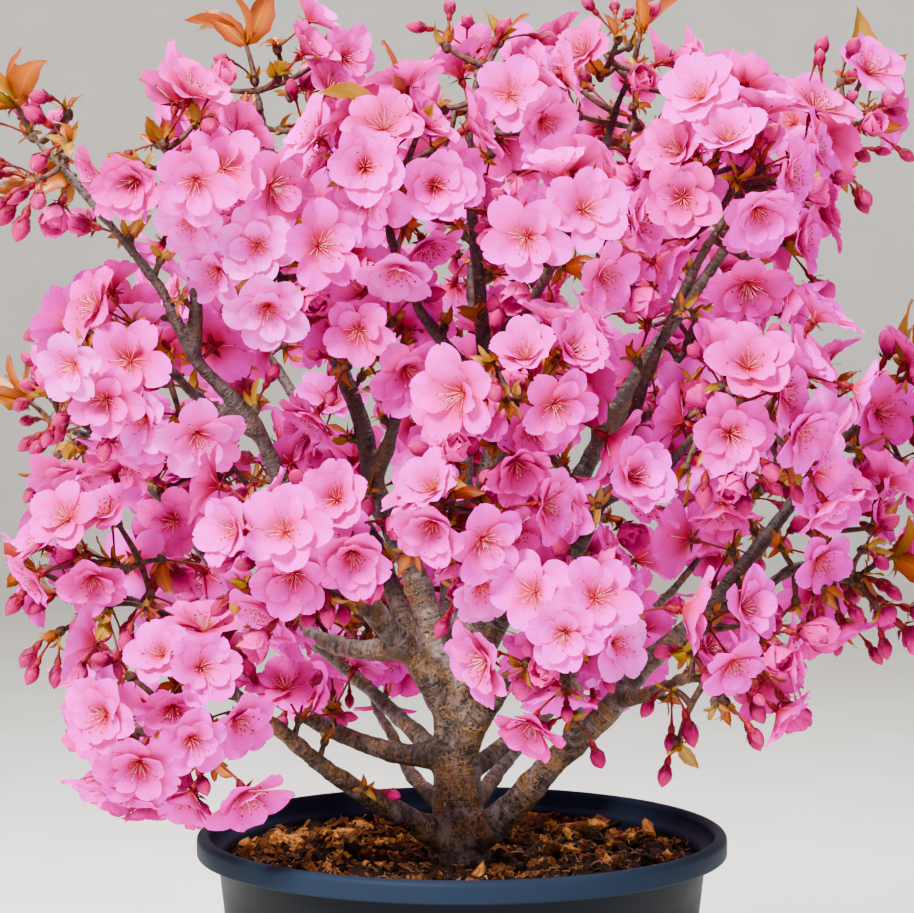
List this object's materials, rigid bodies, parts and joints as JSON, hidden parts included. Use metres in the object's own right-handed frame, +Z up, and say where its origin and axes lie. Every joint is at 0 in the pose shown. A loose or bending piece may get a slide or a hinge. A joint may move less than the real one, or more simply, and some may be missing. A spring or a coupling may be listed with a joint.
{
  "type": "potted flowering cherry tree",
  "caption": "Young flowering cherry with a forked trunk, spreading boughs and masses of pink semi-double blossom, standing in a round tapered nursery pot of bark compost.",
  "frame": {"origin": "middle of the pot's flat underside", "axes": "+Z up along the pot's axis, +X to the right and +Y away from the viewer, who faces the crown's best side"},
  "size_m": [0.534, 0.4284, 0.6611],
  "materials": {
    "pot": "satin",
    "soil": "rough",
    "bark": "satin",
    "blossom": "matte"
  },
  "bodies": {
    "root": {"pot": "pot", "soil": "soil", "trunk": "bark", "leader_left": "bark", "leader_left_front": "bark", "leader_centre": "bark", "leader_right_back": "bark", "leader_right_front": "bark", "bough_low_right": "bark", "bough_low_left": "bark", "bough_left": "bark", "leader_back_left": "bark", "leader_back": "bark", "bough_left_upper": "bark", "bough_far_left": "bark", "bough_top_left": "bark", "bough_front_left": "bark", "bough_upper_left": "bark", "bough_inner_left": "bark", "bough_centre_left": "bark", "bough_front_upper": "bark", "bough_upper_right": "bark", "bough_front": "bark", "bough_top_right": "bark", "bough_back_upper": "bark", "bough_right": "bark", "bough_front_low": "bark", "bough_low_right_front": "bark", "bough_right_low": "bark", "blossom_top_left": "blossom", "blossom_left_tip": "blossom", "blossom_top": "blossom", "blossom_right_tip": "blossom", "blossom_upper_right": "blossom", "blossom_far_right": "blossom", "blossom_low_left": "blossom", "blossom_left_low": "blossom", "blossom_back_left": "blossom", "blossom_back_top": "blossom", "blossom_left": "blossom", "blossom_far_left": "blossom", "blossom_left_crest": "blossom", "blossom_front_left": "blossom", "blossom_upper_left": "blossom", "blossom_inner_left": "blossom", "blossom_centre_left": "blossom", "blossom_front_upper": "blossom", "blossom_centre_right": "blossom", "blossom_front": "blossom", "blossom_top_right": "blossom", "blossom_back_right": "blossom", "blossom_right": "blossom", "blossom_front_low": "blossom", "blossom_right_front": "blossom", "blossom_right_low": "blossom", "blossom_back": "blossom", "blossom_back_far_left": "blossom", "blossom_back_far_right": "blossom", "blossom_back_low_right": "blossom", "blossom_back_low_left": "blossom"}
  },
  "joints": []
}
